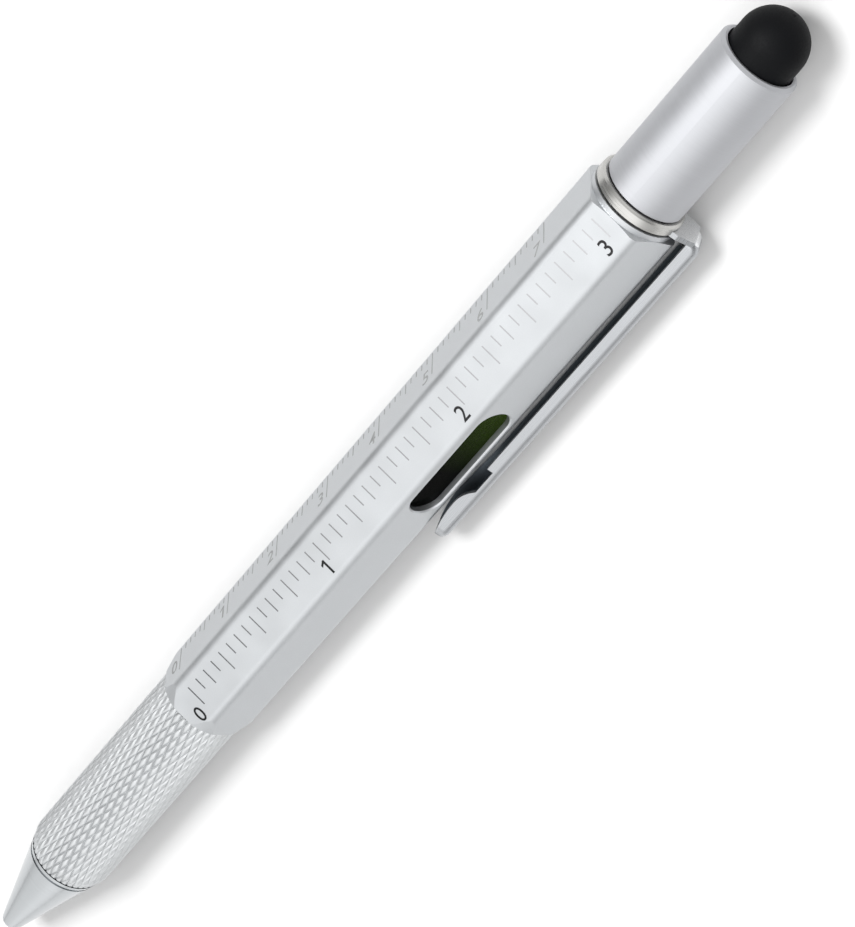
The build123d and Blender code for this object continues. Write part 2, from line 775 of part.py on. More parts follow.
# Stylus: a soft hollow dome on a plug in the cap's end
dome_centre_x = cap_rim_x + dome_rise
dome_bore_radius = dome_radius - dome_wall
with BuildPart() as stylus_base:
    with BuildSketch(cross_plane(stylus_base_x)):
        Circle(cap_bore_radius - fixed_gap)
    extrude(amount=stylus_base_length - fixed_gap)
    with BuildSketch(cross_plane(dome_x - fixed_gap)):
        Circle(dome_bore_radius - fixed_gap)
    extrude(amount=dome_inset + stylus_core_rise)
    fillet(stylus_base.edges().group_by(Axis.X)[-1], radius=stylus_core_round)
stylus_base.part.label = "stylus_base"
export_step(stylus_base.part, "parts/stylus_base.step")

with BuildPart() as stylus_tip:
    with BuildSketch(side_plane()):
        with BuildLine():
            Line((dome_x, dome_bore_radius), (dome_x, dome_radius))
            Line((dome_x, dome_radius), (dome_centre_x, dome_radius))
            TangentArc(
                (dome_centre_x, dome_radius),
                (dome_centre_x + dome_radius, 0),
                tangent=(1, 0),
            )
            Line((dome_centre_x + dome_radius, 0), (dome_centre_x + dome_bore_radius, 0))
            TangentArc(
                (dome_centre_x, dome_bore_radius),
                (dome_centre_x + dome_bore_radius, 0),
                tangent=(1, 0),
            )
            Line((dome_centre_x, dome_bore_radius), (dome_x, dome_bore_radius))
        make_face()
    revolve(axis=pen_axis)
stylus_tip.part.label = "stylus_tip"
export_step(stylus_tip.part, "parts/stylus_tip.step")
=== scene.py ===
import math
from typing import NamedTuple

import bmesh
import bpy
from bpy.props import (
    FloatProperty,
    FloatVectorProperty,
    IntProperty,
    PointerProperty,
)
from bpy.types import Operator, Panel, PropertyGroup
from mathutils import Matrix, Quaternion, Vector


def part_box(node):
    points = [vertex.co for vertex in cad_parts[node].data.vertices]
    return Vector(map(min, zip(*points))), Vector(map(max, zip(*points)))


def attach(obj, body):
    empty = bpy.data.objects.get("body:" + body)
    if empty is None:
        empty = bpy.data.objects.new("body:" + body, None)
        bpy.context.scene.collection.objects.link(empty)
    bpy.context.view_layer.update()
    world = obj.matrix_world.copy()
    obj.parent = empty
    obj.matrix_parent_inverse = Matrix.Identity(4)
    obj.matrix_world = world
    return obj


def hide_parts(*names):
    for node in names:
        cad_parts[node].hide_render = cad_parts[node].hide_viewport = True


bl_info = {
    "name": "Multi Tool Pen",
    "version": (1, 0, 0),
    "blender": (4, 5, 0),
    "location": "3D View > Sidebar > Pen",
    "description": "Finishes, knurl, scales and studio for a multi tool pen",
    "category": "Object",
}

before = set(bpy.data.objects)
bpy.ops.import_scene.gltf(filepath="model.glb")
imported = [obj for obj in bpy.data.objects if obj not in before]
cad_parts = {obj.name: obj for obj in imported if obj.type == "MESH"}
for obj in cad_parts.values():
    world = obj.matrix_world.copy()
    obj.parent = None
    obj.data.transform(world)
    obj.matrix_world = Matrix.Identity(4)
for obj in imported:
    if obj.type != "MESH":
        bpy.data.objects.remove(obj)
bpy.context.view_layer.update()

MM = 0.001
WHOLE_TURN = 2 * math.pi
FACE_TURN = math.radians(60)
ALONG_PEN = Vector((1, 0, 0))

pen_low, pen_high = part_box("hex_barrel")
AXIS_HEIGHT = (pen_low.z + pen_high.z) / 2
FACE_RADIUS = pen_high.z - AXIS_HEIGHT


# Settings


def number_setting(name, description, default):
    return FloatProperty(name=name, description=description, default=default)


def length_setting(name, description, default):
    return FloatProperty(name=name, description=description, default=default, unit="LENGTH")


def angle_setting(name, description, default):
    return FloatProperty(name=name, description=description, default=default, subtype="ANGLE")


def colour_setting(name, description, default):
    return FloatVectorProperty(
        name=name,
        description=description,
        default=default,
        subtype="COLOR",
    )


def place_setting(name, description, default):
    return FloatVectorProperty(
        name=name,
        description=description,
        default=default,
        subtype="TRANSLATION",
        unit="LENGTH",
    )


def direction_setting(name, description, default):
    return FloatVectorProperty(
        name=name,
        description=description,
        default=default,
        subtype="DIRECTION",
    )


class PenStudioSettings(PropertyGroup):
    camera_place: place_setting(
        "Camera place",
        "Where the camera stands",
        (0.21276040, -0.03286881, 0.31874483),
    )
    camera_aim: place_setting(
        "Camera aim",
        "The point in the middle of the picture",
        (0.00170792, -0.00151553, 0.005),
    )
    camera_roll: angle_setting(
        "Camera roll",
        "How far the camera is turned about its own line of sight",
        math.radians(-128.7276),
    )
    lens: number_setting(
        "Lens",
        "Focal length on a 36 mm sensor along the picture's long side, in mm",
        143.095,
    )
    floor_size: length_setting("Floor size", "Side of the square floor", 3.0)
    floor_colour: colour_setting("Floor colour", "Colour of the floor", (0.59, 0.59, 0.59))
    floor_lift: number_setting(
        "Floor lift",
        "Light that the floor adds where it is seen, so that it stays white",
        0.05,
    )
    sky: number_setting("Light overhead", "Strength of the room's light from straight above", 0.3)
    horizon: number_setting(
        "Light at the horizon",
        "Strength of the room's light from the sides",
        0.28,
    )
    sky_height: number_setting(
        "Sky's height",
        "Height, out of 1 overhead, from which the room is as bright as the sky",
        0.8,
    )
    ceiling_sight: direction_setting(
        "Ceiling glow direction",
        "Where the wide glow overhead is seen",
        (-0.1, -0.2, 0.97),
    )
    ceiling_spread: angle_setting(
        "Ceiling glow spread",
        "Angle over which the glow overhead fades",
        math.radians(50),
    )
    ceiling_glow: number_setting("Ceiling glow", "Strength of the wide glow overhead", 1.4)
    front_sight: direction_setting(
        "Front glow direction",
        "Where the glow beyond the writing end is seen",
        (-0.97, 0.0, 0.2),
    )
    front_spread: angle_setting(
        "Front glow spread",
        "Angle over which the glow beyond the writing end fades",
        math.radians(45),
    )
    front_glow: number_setting("Front glow", "Strength of the glow beyond the writing end", 0.8)
    side_sight: direction_setting(
        "Side glow direction",
        "Where the glow on the clip's side is seen",
        (-0.45, -0.8, 0.35),
    )
    side_spread: angle_setting(
        "Side glow spread",
        "Angle over which the glow on the clip's side fades",
        math.radians(60),
    )
    side_glow: number_setting("Side glow", "Strength of the glow on the clip's side", 0.45)
    rear_sight: direction_setting(
        "Rear glow direction",
        "Where the glow beyond the stylus is seen",
        (0.85, 0.0, 0.5),
    )
    rear_spread: angle_setting(
        "Rear glow spread",
        "Angle over which the glow beyond the stylus fades",
        math.radians(45),
    )
    rear_glow: number_setting("Rear glow", "Strength of the glow beyond the stylus", 0.75)
    key_place: place_setting(
        "Key lamp place",
        "Where the soft lamp hangs that casts the pen's shadow",
        (0.12, 0.33, 0.71),
    )
    key_size: length_setting("Key lamp size", "Side of the soft lamp", 0.3)
    key_power: FloatProperty(
        name="Key lamp power",
        description="Power of the soft lamp",
        default=6.2,
        unit="POWER",
    )


class PenKnurlSettings(PropertyGroup):
    count: IntProperty(
        name="Diamonds round",
        description="Number of diamonds round the grip",
        default=38,
        min=8,
    )
    length: length_setting("Diamond length", "Length of one diamond along the pen", 3.1 * MM)
    flank: length_setting("Flank width", "Width of the sloping side of a diamond", 0.12 * MM)
    shoulder: length_setting(
        "Shoulder width",
        "Width of the rounded edge round a diamond's top",
        0.12 * MM,
    )
    depth: length_setting("Knurl depth", "Height of the sloping side of a diamond", 0.1 * MM)
    crown: length_setting("Crown", "Height of the rounded top above the sloping side", 0.045 * MM)
    merge: length_setting(
        "Merge distance",
        "Points of the sheet closer than this are joined",
        0.0082 * MM,
    )
    # Painted shade in the knurl's grooves: the next three settings give where it is darkest, where
    # it fades out and how dark it is.
    valley: number_setting(
        "Darkest depth",
        "Depth that is darkest, out of the knurl's whole height",
        1.1,
    )
    crest: number_setting(
        "Brightest depth",
        "Depth from which it is bright, out of the whole height",
        0.3,
    )
    groove_tone: number_setting("Groove tone", "Tone of the grooves, out of the metal's own", 0.82)
    bevel: length_setting("Front bevel", "How far the grip narrows at its front", 0.4 * MM)
    bevel_length: length_setting(
        "Front bevel length",
        "Length of the bevel along the pen",
        1.2 * MM,
    )
    front_bore: length_setting(
        "Front bore",
        "Radius of the bore round the nose cone's spigot",
        3.82 * MM,
    )
    middle_bore: length_setting("Middle bore", "Radius of the bore between its two ends", 3.2 * MM)
    rear_bore: length_setting("Rear bore", "Radius of the bore round the twist tube", 2.92 * MM)
    seat_length: length_setting(
        "Seat length",
        "Length of the bore's front and rear parts",
        6.1 * MM,
    )


class PenScaleSettings(PropertyGroup):
    inch_zero: length_setting(
        "Inch zero",
        "Place of the inch scale's zero along the pen",
        -37.5 * MM,
    )
    inch: length_setting("Inch", "Length of one inch on the scale", 25.4 * MM)
    inch_parts: IntProperty(
        name="Parts of an inch",
        description="Number of spaces in one inch",
        default=16,
        min=2,
    )
    inches: IntProperty(
        name="Inches",
        description="Number of inches on the scale",
        default=3,
        min=1,
    )
    inch_start: length_setting(
        "Inch tick start",
        "Distance from the face's middle to where its ticks start",
        1.6 * MM,
    )
    inch_ticks: FloatVectorProperty(
        name="Inch ticks",
        description="Lengths of the quarter, eighth and sixteenth inch ticks",
        default=(2.53 * MM, 1.98 * MM, 1.5 * MM),
        unit="LENGTH",
    )
    centimetre_zero: length_setting(
        "Centimetre zero",
        "Place of the centimetre scale's zero along the pen",
        -37.8 * MM,
    )
    centimetres: IntProperty(
        name="Centimetres",
        description="Number of centimetres on the scale",
        default=7,
        min=1,
    )
    centimetre_start: length_setting(
        "Centimetre tick start",
        "Distance from the face's middle to where its ticks start",
        2.2 * MM,
    )
    centimetre_ticks: FloatVectorProperty(
        name="Centimetre ticks",
        description="Lengths of the centimetre, half centimetre and millimetre ticks",
        default=(3.3 * MM, 1.5 * MM, 0.8 * MM),
        unit="LENGTH",
    )
    tick_width: length_setting("Tick width", "Width of a tick", 0.15 * MM)
    print_height: length_setting(
        "Print height",
        "How far the print stands out of the metal",
        0.01 * MM,
    )
    print_root: length_setting("Print root", "How far the print reaches into the metal", 0.02 * MM)
    number_height: length_setting("Number height", "Height of a number", 1.8 * MM)
    number_weight: number_setting(
        "Number weight",
        "How much the numbers' strokes are thickened",
        0.005,
    )
    flag_length: number_setting(
        "One's flag length",
        "Length of a one's flag, in widths of its bar",
        1.6,
    )
    flag_rise: number_setting("One's flag rise", "Rise of a one's flag, in widths of its bar", 0.9)
    inch_number_top: length_setting(
        "Inch number top",
        "Distance from the face's middle to the top of its numbers",
        0.38 * MM,
    )
    inch_number_steps: FloatVectorProperty(
        name="Inch number steps",
        description="Distances from each inch tick to the middle of its number",
        default=(1.43 * MM, 1.0 * MM, 0.97 * MM, 1.2 * MM),
        size=4,
        unit="LENGTH",
    )
    centimetre_number_top: length_setting(
        "Centimetre number top",
        "Distance from the face's middle to the top of its first number",
        -1.1 * MM,
    )
    centimetre_number_drift: length_setting(
        "Centimetre number drift",
        "How far each number lies below the one before it",
        0.15 * MM,
    )
    centimetre_number_step: length_setting(
        "Centimetre number step",
        "Distance from each centimetre tick to the middle of its number",
        1.2 * MM,
    )


class PenLensSettings(PropertyGroup):
    # Painted shade: the lens darkens to this colour at its nose end, where shade falls in its
    # slot.
    dark: colour_setting(
        "Lens at the nose",
        "Tint of the level's lens at its end towards the nose",
        (0.004, 0.005, 0.004),
    )
    light: colour_setting(
        "Lens at the cap",
        "Tint of the level's lens at its end towards the cap",
        (0.075, 0.135, 0.018),
    )
    dark_share: number_setting(
        "Dark share",
        "Share of its length, from the nose on, that is all dark",
        0.35,
    )
    roughness: number_setting("Haze", "Roughness of the cloudy lens", 0.12)
    index: number_setting("Refraction", "Index of refraction of the lens in its slot", 1.06)
    clearness: number_setting("Clearness", "Share of the light that passes the lens", 0.7)
    gloss: number_setting(
        "Gloss",
        "Strength of its reflections, where 0.5 is that of plain plastic",
        0.05,
    )


# Sizes of the clip that bound the painted shade laid inside its channel.
class PenClipSettings(PropertyGroup):
    turn: angle_setting(
        "Turn",
        "Angle round the pen from the inch scale's face to the clip",
        math.radians(107),
    )
    sheet_middle: length_setting(
        "Sheet middle",
        "Distance from the pen's axis to the middle of its sheet",
        7.6 * MM,
    )
    wall_middle: length_setting(
        "Wall middle",
        "Distance from the clip's middle to that of a side wall",
        1.25 * MM,
    )
    # Painted shade inside the clip's channel is laid only before this place along the pen.
    root: length_setting(
        "Root",
        "Place along the pen from which the root is polished inside",
        39 * MM,
    )


class PenFinishSettings(PropertyGroup):
    satin: colour_setting("Satin aluminium", "Colour of the barrel's metal", (0.545, 0.561, 0.576))
    knurled: colour_setting(
        "Knurled aluminium",
        "Colour of the grip's metal",
        (0.63, 0.645, 0.655),
    )
    polished: colour_setting("Polished metal", "Colour of the nose cone", (0.53, 0.55, 0.565))
    cap: colour_setting("Cap aluminium", "Colour of the cap's metal", (0.485, 0.492, 0.512))
    collar: colour_setting("Collar metal", "Colour of the collar", (0.5, 0.497, 0.48))
    clip: colour_setting("Clip steel", "Colour of the clip's polished sheet", (0.42, 0.432, 0.448))
    # Painted shade: dark colour laid inside the clip's channel, where shade falls between clip and
    # barrel.
    clip_inside: colour_setting(
        "Clip's inside",
        "Colour of the clip's sheet where it is left dull",
        (0.09, 0.105, 0.12),
    )
    # Painted highlight: a lighter colour on the clip root's face that looks towards the cap.
    clip_end: colour_setting(
        "Clip's end face",
        "Colour of the clip's root where it looks towards the cap",
        (0.78, 0.79, 0.8),
    )
    brass: colour_setting("Brass", "Colour of the turned brass pieces", (0.72, 0.53, 0.24))
    steel: colour_setting("Steel", "Colour of the tool steel", (0.42, 0.42, 0.43))
    rubber: colour_setting("Rubber", "Colour of the stylus dome", (0.002, 0.0023, 0.003))
    vial: colour_setting("Vial", "Colour of the level's clear vial", (0.93, 0.96, 0.88))
    liquid: colour_setting("Level liquid", "Colour of the level's liquid", (0.12, 0.2, 0.03))
    vial_plug: colour_setting("Vial plug", "Colour of the vial's plug", (0.06, 0.08, 0.03))
    carrier: colour_setting("Vial holder", "Colour of the holder of the vial", (0.02, 0.02, 0.021))
    bush: colour_setting("Bush", "Colour of the bush of the twist mechanism", (0.12, 0.12, 0.12))
    cam: colour_setting("Cam sleeve", "Colour of the cam sleeve", (0.75, 0.75, 0.73))
    plunger: colour_setting("Plunger", "Colour of the plunger", (0.05, 0.05, 0.05))
    pin: colour_setting("Pin", "Colour of the plunger's pin", (0.6, 0.6, 0.61))
    ball: colour_setting("Ball", "Colour of the writing ball", (0.7, 0.7, 0.71))
    refill: colour_setting("Refill tube", "Colour of the refill's milky tube", (0.85, 0.86, 0.84))
    ink: colour_setting("Ink", "Colour of the ink", (0.012, 0.012, 0.03))
    grease: colour_setting(
        "Follower grease",
        "Colour of the grease behind the ink",
        (0.7, 0.62, 0.4),
    )
    stylus_plug: colour_setting(
        "Stylus plug",
        "Colour of the plug under the dome",
        (0.03, 0.03, 0.03),
    )
    holder: colour_setting("Bit holder", "Colour of the bit's holder", (0.6, 0.61, 0.62))
    magnet: colour_setting("Magnet", "Colour of the plated magnet", (0.64, 0.64, 0.66))
    tick_near: colour_setting(
        "Inch ticks at the nose",
        "Colour of the inch ticks at the nose end",
        (0.05, 0.054, 0.055),
    )
    tick_far: colour_setting(
        "Inch ticks at the cap",
        "Colour of the inch ticks at the cap end",
        (0.4, 0.4, 0.41),
    )
    number_near: colour_setting(
        "Inch numbers at the nose",
        "Colour of the inch numbers at the nose end",
        (0.01, 0.0108, 0.011),
    )
    number_far: colour_setting(
        "Inch numbers at the cap",
        "Colour of the inch numbers at the cap end",
        (0.024, 0.024, 0.0246),
    )
    pale_near: colour_setting(
        "Centimetres at the nose",
        "Colour of the centimetre scale at the nose end",
        (0.225, 0.23, 0.23),
    )
    pale_far: colour_setting(
        "Centimetres at the cap",
        "Colour of the centimetre scale at the cap end",
        (0.27, 0.276, 0.276),
    )


# Node helpers


def add(tree, kind, sockets=None, **settings):
    """A node of that kind, with its settings made and its sockets filled in or linked."""
    node = tree.nodes.new(kind)
    for name, value in settings.items():
        setattr(node, name, value)
    for name, value in (sockets or {}).items():
        if isinstance(value, bpy.types.NodeSocket):
            tree.links.new(value, node.inputs[name])
        else:
            node.inputs[name].default_value = value
    return node


def opaque(colour):
    return (colour[0], colour[1], colour[2], 1.0)


def shaded(colour, share):
    """The colour, darker or lighter by that share."""
    return tuple(min(1.0, c * share) for c in colour[:3])


def new_finish(name, colour, roughness, metallic=0.0, **sockets):
    """A material with one shader: the material, its tree and its shader node."""
    finish = bpy.data.materials.new(name)
    finish.use_nodes = True
    finish.diffuse_color = opaque(colour)
    tree = finish.node_tree
    tree.nodes.clear()
    shader = add(
        tree,
        "ShaderNodeBsdfPrincipled",
        {"Base Color": opaque(colour), "Roughness": roughness, "Metallic": metallic},
    )
    for socket, value in sockets.items():
        shader.inputs[socket.replace("_", " ")].default_value = value
    output = add(tree, "ShaderNodeOutputMaterial")
    tree.links.new(shader.outputs["BSDF"], output.inputs["Surface"])
    return finish, tree, shader


def opened(finish):
    """The tree and the shader node of a finished material."""
    tree = finish.node_tree
    return tree, next(node for node in tree.nodes if node.type == "BSDF_PRINCIPLED")


def spot(tree, stretch=(1.0, 1.0, 1.0), height=0.0):
    """The place on the piece, in metres, stretched by axis and measured from that height."""
    place = add(tree, "ShaderNodeTexCoord").outputs["Object"]
    moved = {"Vector": place, "Location": (0.0, 0.0, -height), "Scale": stretch}
    return add(tree, "ShaderNodeMapping", moved).outputs["Vector"]


def along(tree, vector, direction):
    """How far a vector reaches in that direction."""
    product = add(tree, "ShaderNodeVectorMath", {"Vector": vector}, operation="DOT_PRODUCT")
    product.inputs[1].default_value = direction
    return product.outputs["Value"]


def noise(tree, vector, size, detail=2.0):
    """Noise whose features are about that large, in metres."""
    sockets = {"Vector": vector, "Scale": 1 / size, "Detail": detail}
    return add(tree, "ShaderNodeTexNoise", sockets).outputs["Fac"]


def span(tree, value, low, high, start=0.3, end=0.7):
    """The value, spread from low at its start to high at its end."""
    limits = {"From Min": start, "From Max": end, "To Min": low, "To Max": high}
    return add(tree, "ShaderNodeMapRange", {"Value": value, **limits}).outputs["Result"]


def total(tree, first, second, operation="ADD"):
    """The sum of two values, or what another operation makes of them."""
    node = add(tree, "ShaderNodeMath", operation=operation)
    for socket, value in zip(node.inputs, (first, second)):
        if isinstance(value, bpy.types.NodeSocket):
            tree.links.new(value, socket)
        else:
            socket.default_value = value
    return node.outputs["Value"]


def blend_colours(tree, share, first, second):
    """The first colour, moved towards the second by that share."""
    mix = add(tree, "ShaderNodeMix", data_type="RGBA")
    tree.links.new(share, mix.inputs["Factor"])
    for socket, colour in ((mix.inputs[6], first), (mix.inputs[7], second)):
        if isinstance(colour, bpy.types.NodeSocket):
            tree.links.new(colour, socket)
        else:
            socket.default_value = opaque(colour)
    return mix.outputs[2]


def retint(tree, shader, share, colour):
    """Move the shader's present colour towards another one by that share."""
    socket = shader.inputs["Base Color"]
    present = socket.links[0].from_socket
    tree.links.new(blend_colours(tree, share, present, colour), socket)


def raise_surface(tree, shader, height, distance):
    """Give the shader a relief of that depth."""
    bump = add(tree, "ShaderNodeBump", {"Height": height, "Distance": distance, "Strength": 1.0})
    tree.links.new(bump.outputs["Normal"], shader.inputs["Normal"])


# Finishes


class Pattern(NamedTuple):
    """A noise: the size of its features, what it adds to the roughness, stretch and detail."""

    size: float
    rough: tuple
    stretch: tuple = (1.0, 1.0, 1.0)
    detail: float = 2.0


def patterned(name, colour, roughness, fine, cloud, tones, relief, clouded=False, **sockets):
    """A material with a fine relief over soft clouds, either of which varies its tone."""
    finish, tree, shader = new_finish(name, colour, roughness, **sockets)
    grain, mist = (noise(tree, spot(tree, p.stretch), p.size, p.detail) for p in (fine, cloud))
    dark, light = (shaded(colour, share) for share in tones)
    tone = span(tree, mist if clouded else grain, 0.0, 1.0)
    tree.links.new(blend_colours(tree, tone, dark, light), shader.inputs["Base Color"])
    rough = total(
        tree,
        span(tree, grain, roughness + fine.rough[0], roughness + fine.rough[1]),
        span(tree, mist, *cloud.rough),
    )
    tree.links.new(rough, shader.inputs["Roughness"])
    raise_surface(tree, shader, grain, relief)
    return finish


def blasted_metal(name, colour, roughness, grain=0.06 * MM, relief=0.0012 * MM):
    """Fine bead-blasted metal, with dark specks over soft clouds of tone."""
    fine = Pattern(grain, (-0.05, 0.05), detail=3.0)
    cloud = Pattern(5 * MM, (-0.03, 0.03))
    finish = patterned(
        name,
        colour,
        roughness,
        fine,
        cloud,
        tones=(0.97, 1.03),
        relief=relief,
        clouded=True,
        metallic=1.0,
    )
    tree, shader = opened(finish)
    speck = noise(tree, spot(tree), fine.size, fine.detail)
    retint(tree, shader, span(tree, speck, 0.0, 0.35), shaded(colour, 0.88))
    return finish


def turned_metal(name, colour, roughness, spacing=0.08 * MM, relief=0.0008 * MM):
    """Metal turned on a lathe: fine rings round the pen's axis."""
    fine = Pattern(spacing, (-0.02, 0.05), (1.0, 0.015, 0.015), 3.0)
    cloud = Pattern(3 * MM, (-0.015, 0.02))
    tones = (0.95, 1.03)
    return patterned(name, colour, roughness, fine, cloud, tones, relief, metallic=1.0)


def drawn_metal(name, colour, roughness, width=0.05 * MM, relief=0.0006 * MM):
    """Sheet or bar with fine straight lines along the pen."""
    fine = Pattern(width, (-0.02, 0.05), (0.02, 1.0, 1.0), 3.0)
    cloud = Pattern(4 * MM, (-0.02, 0.03))
    tones = (0.94, 1.04)
    return patterned(name, colour, roughness, fine, cloud, tones, relief, metallic=1.0)


def moulded_plastic(name, colour, roughness, grain=0.12 * MM, relief=0.003 * MM, **sockets):
    """Moulded plastic or rubber with a fine spark-eroded grain."""
    fine = Pattern(grain, (-0.06, 0.06), detail=4.0)
    cloud = Pattern(4 * MM, (-0.02, 0.02))
    return patterned(
        name,
        colour,
        roughness,
        fine,
        cloud,
        tones=(0.88, 1.15),
        relief=relief,
        clouded=True,
        **sockets,
    )


def clear_plastic(name, colour, roughness, ior, relief=0.0004 * MM, clearness=1.0, gloss=0.5):
    """Clear plastic or liquid with a trace of haze and flow."""
    finish, tree, shader = new_finish(
        name,
        colour,
        roughness,
        IOR=ior,
        Transmission_Weight=clearness,
        Specular_IOR_Level=gloss,
    )
    flow = noise(tree, spot(tree), 1.5 * MM)
    dark, light = shaded(colour, 0.94), shaded(colour, 1.05)
    tone = blend_colours(tree, span(tree, flow, 0.0, 1.0), dark, light)
    tree.links.new(tone, shader.inputs["Base Color"])
    tree.links.new(span(tree, flow, roughness, roughness + 0.03), shader.inputs["Roughness"])
    raise_surface(tree, shader, flow, relief)
    return finish


def darken_grooves(finish, colour, sizes, radius, front):
    """Paint shade on the knurled metal in the grooves between its diamonds."""
    tree, shader = opened(finish)
    deep = sizes.depth + sizes.crown
    spoke = spot(tree, (0.0, 1.0, 1.0), AXIS_HEIGHT)
    reach = add(tree, "ShaderNodeVectorMath", {"Vector": spoke}, operation="LENGTH")
    run = along(tree, spot(tree), ALONG_PEN)
    narrowing = span(tree, run, sizes.bevel, 0.0, front, front + sizes.bevel_length)
    height = total(tree, reach.outputs["Value"], narrowing)
    valley = radius - sizes.valley * deep
    crest = radius - sizes.crest * deep
    # Painted shade: darker towards the bottom of the grooves.
    groove = span(tree, height, 1.0, 0.0, valley, crest)
    retint(tree, shader, groove, shaded(colour, sizes.groove_tone))


def dull_inside(finish, colour, roughness, sizes):
    """Paint shade on the inside of the clip's bent sheet between its side walls, and make it rough
    there.
    """
    tree, shader = opened(finish)
    outward = Vector((0, -math.sin(sizes.turn), math.cos(sizes.turn)))
    place = spot(tree, height=AXIS_HEIGHT)
    normal = add(tree, "ShaderNodeTexCoord").outputs["Normal"]
    across = total(tree, along(tree, place, ALONG_PEN.cross(outward)), 0.0, "ABSOLUTE")
    inside = total(tree, along(tree, normal, outward), 0.5, "LESS_THAN")
    for value, limit in (
        (along(tree, place, outward), sizes.sheet_middle),
        (across, sizes.wall_middle),
        (along(tree, place, ALONG_PEN), sizes.root),
    ):
        inside = total(tree, inside, total(tree, value, limit, "LESS_THAN"), "MULTIPLY")
    # Painted shade: the clip's inside is tinted dark in its channel.
    retint(tree, shader, inside, colour)
    socket = shader.inputs["Roughness"]
    polished = socket.links[0].from_socket
    reach = {"Value": inside, "To Min": polished, "To Max": roughness}
    tree.links.new(add(tree, "ShaderNodeMapRange", reach).outputs["Result"], socket)


def brighten_end(finish, colour):
    """Paint a highlight on the sheet's face that looks towards the cap, lighter than the rest."""
    tree, shader = opened(finish)
    normal = add(tree, "ShaderNodeTexCoord").outputs["Normal"]
    end = total(tree, along(tree, normal, ALONG_PEN), 0.7, "GREATER_THAN")
    retint(tree, shader, end, colour)


def darken_start(finish, colour, start, end):
    """Paint shade over a piece towards that colour, fully up to its start and not at all from its
    end on.
    """
    tree, shader = opened(finish)
    run = along(tree, spot(tree), ALONG_PEN)
    retint(tree, shader, span(tree, run, 1.0, 0.0, start, end), colour)


def printed_ink(name, near, far, start, end):
    """Print that grows fainter from one end of the barrel to the other."""
    finish, tree, shader = new_finish(name, near, 0.55, Specular_IOR_Level=0.1)
    place = spot(tree)
    fade = span(tree, along(tree, place, ALONG_PEN), 0.0, 1.0, start, end)
    wear = noise(tree, place, 0.15 * MM, detail=3.0)
    tree.links.new(blend_colours(tree, fade, near, far), shader.inputs["Base Color"])
    retint(tree, shader, span(tree, wear, 0.0, 0.25, 0.45, 0.75), far)
    tree.links.new(span(tree, wear, 0.45, 0.65), shader.inputs["Roughness"])
    raise_surface(tree, shader, wear, 0.002 * MM)
    return finish


def dress(node_name, finish):
    """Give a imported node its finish."""
    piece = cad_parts[node_name]
    piece.data.materials.clear()
    piece.data.materials.append(finish)
    for face in piece.data.polygons:
        face.material_index = 0


# Mesh helpers


def new_piece(name, mesh_in_work, finish, smooth_angle=math.radians(40)):
    """Turn a mesh in work into a shaded piece and link it into the scene."""
    mesh = bpy.data.meshes.new(name)
    mesh_in_work.to_mesh(mesh)
    mesh_in_work.free()
    mesh.materials.append(finish)
    piece = bpy.data.objects.new(name, mesh)
    bpy.context.scene.collection.objects.link(piece)
    mesh.shade_smooth()
    mesh.set_sharp_from_angle(angle=smooth_angle)
    return piece


def face_place(turn):
    """From a flat drawing to the barrel's face at that turn: x along the pen, y up the print."""
    return (
        Matrix.Translation((0, 0, AXIS_HEIGHT))
        @ Matrix.Rotation(turn, 4, "X")
        @ Matrix.Translation((0, 0, FACE_RADIUS))
    )


# Operators


